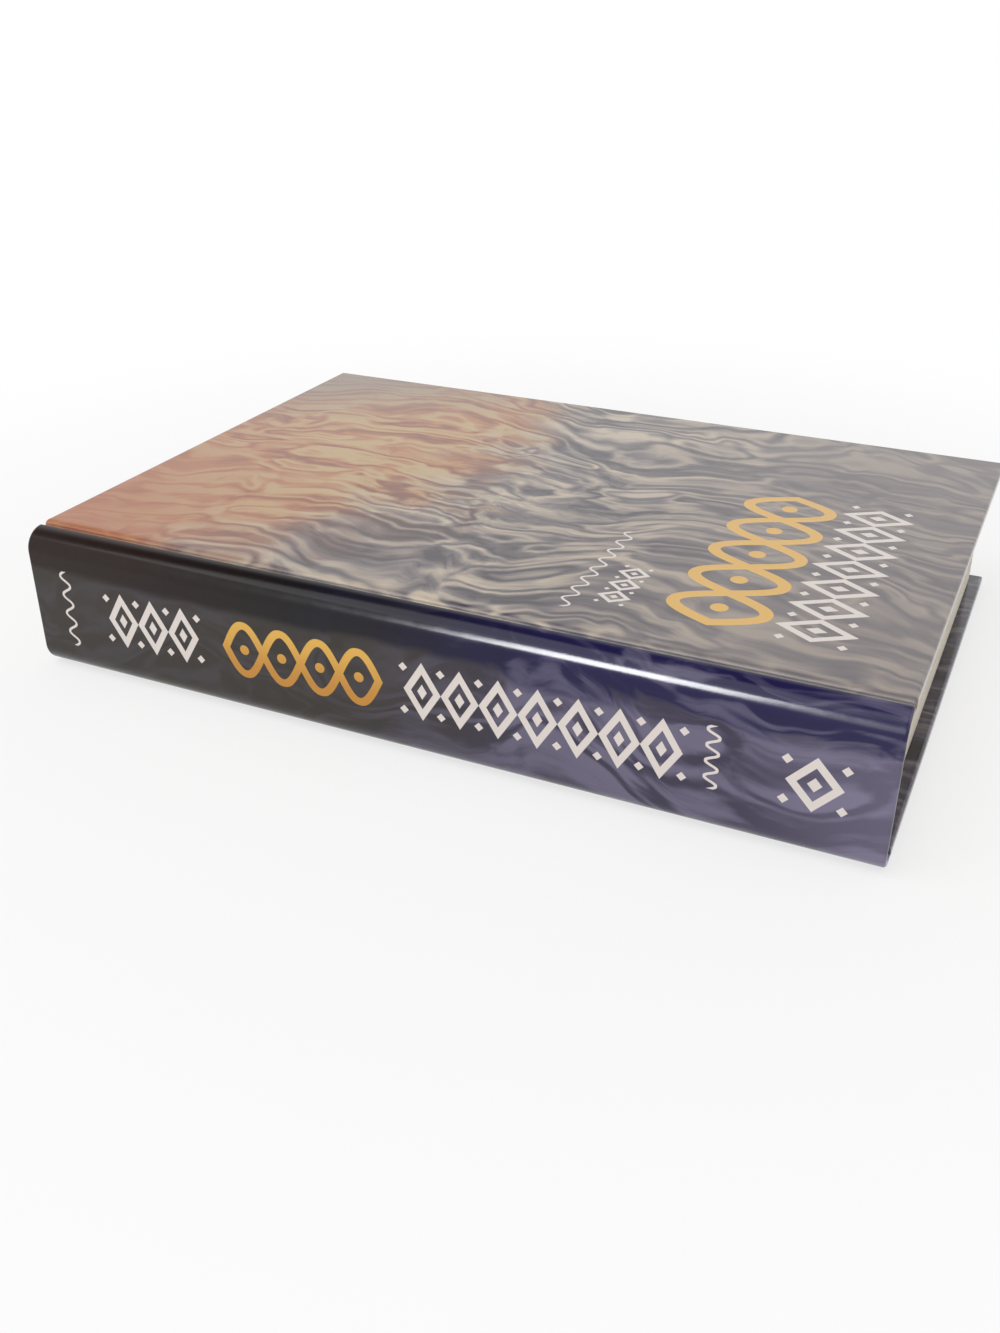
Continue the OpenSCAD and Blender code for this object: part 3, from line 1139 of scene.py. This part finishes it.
def spine_print():
    """Brown at the head and violet at the tail with paler strands, a dark band along the upper shoulder
    whose lower edge frays towards the tail, and a line of motifs. The band is dark ink with painted
    reflection in it, the dark room that the curved shoulder mirrors."""

    def build(g, place):
        ink_of = colours()
        x, y, z = g.parts(place)
        flow = g.group(flow_group(), Place=g.joined(x, g.plus(z, 40.0), y))
        tone = flow["Tone"]
        turn = g.plus(x, g.times(flow["Drift"], SPINE_DRIFT))
        tail = g.step(turn, *SPINE_TURN)
        base = g.mix(tail, ink_of.spine_brown, ink_of.spine_violet)
        lift = g.plus(0.1, g.times(tail, 0.6))
        lift = g.plus(lift, g.times(g.step(x, 80.0, 106.0), 0.3))
        base = g.mix(g.times(g.step(tone, 0.25, 0.8), lift), base, ink_of.spine_pale)
        base = g.mix(g.times(g.step(x, 70.0, 112.0), 0.5), base, ink_of.spine_pale)
        # Painted reflection: the dark room mirrored in the curved upper shoulder, painted as a dark band
        # over the spine's ink
        band = g.ramp(
            g.step(turn, *BAND_TURN),
            (0.05, ink_of.shoulder_brown_and_painted_reflection), (0.45, ink_of.night_ink_and_painted_shade), (1.0, ink_of.shoulder_navy_and_painted_reflection))
        band = g.mix(g.times(g.step(tone, 0.5, 0.9), g.times(tail, 0.45)), band, ink_of.spine_pale)
        rags = g.times(g.less(tone, 0.5), g.plus(1.0, g.times(tail, BAND_RAGS)))
        edge = g.plus(g.plus(z, rags), g.times(flow["Drift"], 6.0))
        base = g.mix(g.times(g.step(edge, *BAND_EDGE), 0.92), base, band)
        shaded_gold = g.mix(g.step(z, 13.0, 26.0), ink_of.gold_deep, ink_of.gold)
        return filmed(g, place, with_rows(g, base, (
            (lozenge_group, x, -85.0, z, LINE_Z, 9.13, 3, 7.5, 1.6, ink_of.cream),
            (twist_group, x, -49.5, z, LINE_Z, 10.5, 4, 7.5, 2.0, shaded_gold),
            (lozenge_group, x, -1.0, z, LINE_Z, 9.43, 7, 7.5, 1.6, ink_of.cream),
            (lozenge_group, x, 86.5, z, LINE_Z, 12.0, 1, 6.5, 1.7, ink_of.cream),
            (wave_group, z, 8.0, x, -97.5, 5.2, 4, 1.3, 0.65, ink_of.cream),
            (wave_group, z, 11.6, x, 71.2, 3.85, 4, 1.3, 0.65, ink_of.cream),
        )))

    return finished_material("spine_cover_print", build, Specular_IOR_Level=0.28)


def darker(value, share):
    """A colour at some share of its light."""
    return tuple(share * part for part in value)


def page_paper():
    """Edges of the leaves: lines that run round the block, at changes of a noise across the stack."""

    def build(g, place):
        x, y, z = g.parts(place)
        fibre = g.group(fibre_group(), Place=place, Scale=1.0)
        sheets = g.noise(g.joined(g.times(x, 0.01), g.times(y, 0.01), z), 7.0, 3.0)[0]
        line = g.step(sheets, 0.36, 0.62)
        tone = g.plus(g.times(line, 0.7), g.times(fibre["Tone"], 0.3))
        page = colours().page
        return {"Base Color": g.ramp(tone, (0.1, darker(page, 0.8)), (0.75, page)),
                "Normal": bumped(g, line, 0.5, 0.06)}

    return finished_material("page_edges", build, Roughness=0.85, Specular_IOR_Level=0.25)


def plain_paper(name, base, scale, fleck_share, roughness, strength):
    """A paper or board of one colour with its fibres, mottling and flecks."""

    def build(g, place):
        fibre = g.group(fibre_group(), Place=place, Scale=scale)
        body = g.ramp(fibre["Tone"], (0.3, darker(base, 0.86)), (0.65, base))
        flecked = g.mix(g.times(fibre["Fleck"], fleck_share), body, darker(base, 0.5))
        return {"Base Color": flecked, "Normal": bumped(g, fibre["Height"], strength, 0.05)}

    return finished_material(name, build, Roughness=roughness, Specular_IOR_Level=0.3)


def end_paper():
    return plain_paper("endpaper_stock", tuple(colours().endpaper), 1.0, 0.12, 0.82, 0.35)


def kraft_paper():
    return plain_paper("kraft_lining", tuple(colours().kraft), 0.8, 0.5, 0.85, 0.5)


def greyboard():
    return plain_paper("greyboard_stock", tuple(colours().greyboard), 0.9, 0.8, 0.95, 0.8)


def spine_cloth():
    """Open weave: two threads to a millimetre each way, as sines that leave dark holes."""

    def build(g, place):
        x, y, z = g.parts(place)
        warp = g.size(g.math("SINE", g.times(x, 2 * math.pi)))
        weft = g.size(g.math("SINE", g.times(g.plus(y, z), 2 * math.pi)))
        threads = g.larger(warp, weft)
        cloth = colours().cloth
        return {"Base Color": g.ramp(threads, (0.35, darker(cloth, 0.55)), (0.8, cloth)),
                "Normal": bumped(g, threads, 0.8, 0.1)}

    return finished_material("open_cloth", build, Roughness=0.9, Sheen_Weight=0.2)


STITCHES_TO_A_REPEAT = 4.0


def band_thread():
    """Stitches in two colours by turns, each with finer strands in it."""

    def build(g, place):
        x, y, z = g.parts(place)
        repeat = STITCHES_TO_A_REPEAT * shape().thread_pitch * PER_MM
        turn = g.math("FRACT", g.over(z, repeat))
        pale = g.step(g.size(g.less(turn, 0.5)), 0.22, 0.28)
        strands = g.noise(g.joined(g.times(x, 3.0), g.times(y, 3.0), z), 6.0, 2.0)[0]
        lit = g.step(strands, 0.3, 0.7)
        dyed = colours().thread
        undyed = colours().thread_pale
        bright = g.mix(pale, dyed, undyed)
        dark = g.mix(pale, darker(dyed, 0.6), darker(undyed, 0.7))
        return {"Base Color": g.mix(lit, dark, bright), "Normal": bumped(g, lit, 0.5, 0.05)}

    return finished_material("band_thread", build, Roughness=0.6, Sheen_Weight=0.3)


# Studio

# The floor: its radii, points, gap under the book, and how far from the middle of the book it goes
# from nearly white to white
INNER_RADIUS = 0.2
FLOOR_RADIUS = 12.0
FLOOR_RINGS = 12
FLOOR_SPOKES = 48
FLOOR_GAP = 0.05 * MM
WHITE_FROM = 0.12
WHITE_AT = 0.34
WHITE_NEAR = 0.7
WHITE = (1, 1, 1)

# The world: its light, and the heights of a direction between which it grows dim in gloss
WORLD_STRENGTH = 0.62
DIM_FROM = 0.62
DIM_AT = 0.8
DIM = (0.1, 0.1, 0.11)

# Lamps: name, place, aim, width and height, power, and whether they light matt surfaces
LAMPS = (
    ("key", (-0.5, -0.7, 1.5), (0, 0, 0.02), (1.2, 1.2), 9.0, True),
    ("front", (0.2, -1.6, 0.7), (0, -0.07, 0.02), (1.0, 0.6), 5.0, True),
    ("panel", (-0.29, -1.05, 0.59), (0.05, -0.07, 0.03), (0.30, 0.42), 19.0, False),
)


def where_seen(g):
    """1 where the camera sees a surface, straight or in gloss or glass, and 0 where it lights others."""
    path = g.add("ShaderNodeLightPath").outputs
    seen = g.larger(path["Is Camera Ray"], path["Is Glossy Ray"])
    return g.larger(seen, path["Is Transmission Ray"])


def floor_material():
    """Pale and matt; seen directly, it fades to white away from the book and keeps the shadow near it.
    Under the back joint a strip is painted as dark as the shadow there, a painted shadow that stays so when
    the back cover opens."""
    made = bpy.data.materials.new("studio_floor")
    made.use_nodes = True
    made.node_tree.nodes.clear()
    g = Graph(made.node_tree)
    place = g.add("ShaderNodeTexCoord").outputs["Object"]
    x, y = g.parts(place)[:2]
    # Painted shadow: a strip on the floor under the back joint, painted in the darkest colour
    under = g.times(g.math("COMPARE", x, 0.0, CASE_X - 2 * MM),
                    g.math("COMPARE", y, HINGE_Y, 2 * (HINGE_Y - CREST_Y)))
    away = g.add("ShaderNodeVectorMath", {0: place}, operation="LENGTH").outputs["Value"]
    share = g.plus(WHITE_NEAR, g.times(g.step(away, WHITE_FROM, WHITE_AT), 1 - WHITE_NEAR))
    share = g.times(share, g.less(1.0, under))
    matt = g.add("ShaderNodeBsdfDiffuse", {"Color": g.mix(under, colours().floor, colours().night_ink_and_painted_shade)})
    white = g.add("ShaderNodeEmission", {"Color": rgba(WHITE), "Strength": 1.0})
    both = g.add("ShaderNodeMixShader", {
        0: g.times(share, where_seen(g)), 1: matt.outputs[0], 2: white.outputs[0]})
    g.add("ShaderNodeOutputMaterial", {"Surface": both.outputs[0]})
    return made


def studio_world():
    """Even soft light, seen directly and in gloss as white low down and dim overhead."""
    world = bpy.data.worlds.new("studio")
    world.use_nodes = True
    world.node_tree.nodes.clear()
    g = Graph(world.node_tree)
    soft = g.add("ShaderNodeBackground", {"Color": rgba(WHITE), "Strength": WORLD_STRENGTH})
    direction = g.add("ShaderNodeTexCoord").outputs["Generated"]
    tone = g.mix(g.step(g.parts(direction)[2], DIM_FROM, DIM_AT), WHITE, DIM)
    backdrop = g.add("ShaderNodeBackground", {"Color": tone, "Strength": 1.0})
    both = g.add("ShaderNodeMixShader", {0: where_seen(g), 1: soft.outputs[0], 2: backdrop.outputs[0]})
    g.add("ShaderNodeOutputWorld", {"Surface": both.outputs[0]})
    bpy.context.scene.world = world


def area_lamp(name, place, aim, size, power, lights_matt):
    """A rectangular lamp at a place, turned towards another; one that doesn't light matt surfaces is
    only seen in glossy ones."""
    data = bpy.data.lights.new(name, "AREA")
    data.shape = "RECTANGLE"
    data.size, data.size_y = size
    data.energy = power
    lamp = bpy.data.objects.new(name, data)
    bpy.context.scene.collection.objects.link(lamp)
    lamp.visible_diffuse = lights_matt
    lamp.location = place
    lamp.rotation_euler = (Vector(aim) - Vector(place)).to_track_quat("-Z", "Y").to_euler()


class BOOK_OT_stage(bpy.types.Operator):
    """Floor, world, lamps and the photograph's camera"""

    bl_idname = "book.stage"
    bl_label = "Stage"

    def execute(self, context):
        scene = context.scene
        radius = np.concatenate([[0.0], np.geomspace(INNER_RADIUS, FLOOR_RADIUS, FLOOR_RINGS)])[:, None]
        angle = np.linspace(0, 2 * np.pi, FLOOR_SPOKES + 1)[None, :-1]
        rings = stacked(radius * np.cos(angle), radius * np.sin(angle), -FLOOR_GAP)
        faces = [face[::-1] for face in grid_faces(*rings.shape[:2], closed=True).tolist()]
        floor = new_piece("studio_floor", (rings, faces))
        floor.data.materials.append(floor_material())
        studio_world()
        for lamp in LAMPS:
            area_lamp(*lamp)
        scene.view_settings.view_transform = "Standard"
        camera = bpy.data.cameras.new("photo_camera")
        camera.sensor_fit = "VERTICAL"
        camera.sensor_height = SENSOR
        camera.lens = FOCAL_PX * SENSOR / IMAGE_HEIGHT_PX
        camera.clip_start = 0.01
        camera.clip_end = 100.0
        viewer = bpy.data.objects.new("photo_camera", camera)
        scene.collection.objects.link(viewer)
        turn = Matrix.Rotation(math.radians(CAMERA_AZIMUTH), 4, "Z")
        tilt = Matrix.Rotation(math.radians(90 - CAMERA_ELEVATION), 4, "X")
        roll = Matrix.Rotation(math.radians(CAMERA_ROLL), 4, "Z")
        viewer.matrix_world = Matrix.Translation(CAMERA_PLACE) @ turn @ tilt @ roll
        scene.camera = viewer
        return {"FINISHED"}


OPERATORS = (
    BOOK_OT_spine_paper, BOOK_OT_cover_papers, BOOK_OT_page_block, BOOK_OT_endpapers,
    BOOK_OT_bands, BOOK_OT_inner_materials, BOOK_OT_stage,
)


class BOOK_PT_dressing(bpy.types.Panel):
    """Lists the pieces of the book, with their sizes and colours"""

    bl_idname = "BOOK_PT_dressing"
    bl_label = "Hardback Book"
    bl_space_type = "VIEW_3D"
    bl_region_type = "UI"
    bl_category = "Book"

    def draw(self, context):
        for operator in OPERATORS:
            self.layout.operator(operator.bl_idname)
        for group in (context.scene.book_shape, context.scene.book_colours):
            box = self.layout.box()
            for name in group.__annotations__:
                box.prop(group, name)


CLASSES = (BookShape, BookColours, *OPERATORS, BOOK_PT_dressing)


def register():
    for cls in CLASSES:
        bpy.utils.register_class(cls)
    bpy.types.Scene.book_shape = PointerProperty(type=BookShape)
    bpy.types.Scene.book_colours = PointerProperty(type=BookColours)


def unregister():
    del bpy.types.Scene.book_colours
    del bpy.types.Scene.book_shape
    for cls in reversed(CLASSES):
        bpy.utils.unregister_class(cls)


def main():
    register()
    for operator in OPERATORS:
        module, name = operator.bl_idname.split(".")
        getattr(getattr(bpy.ops, module), name)()


if __name__ == "__main__":
    main()
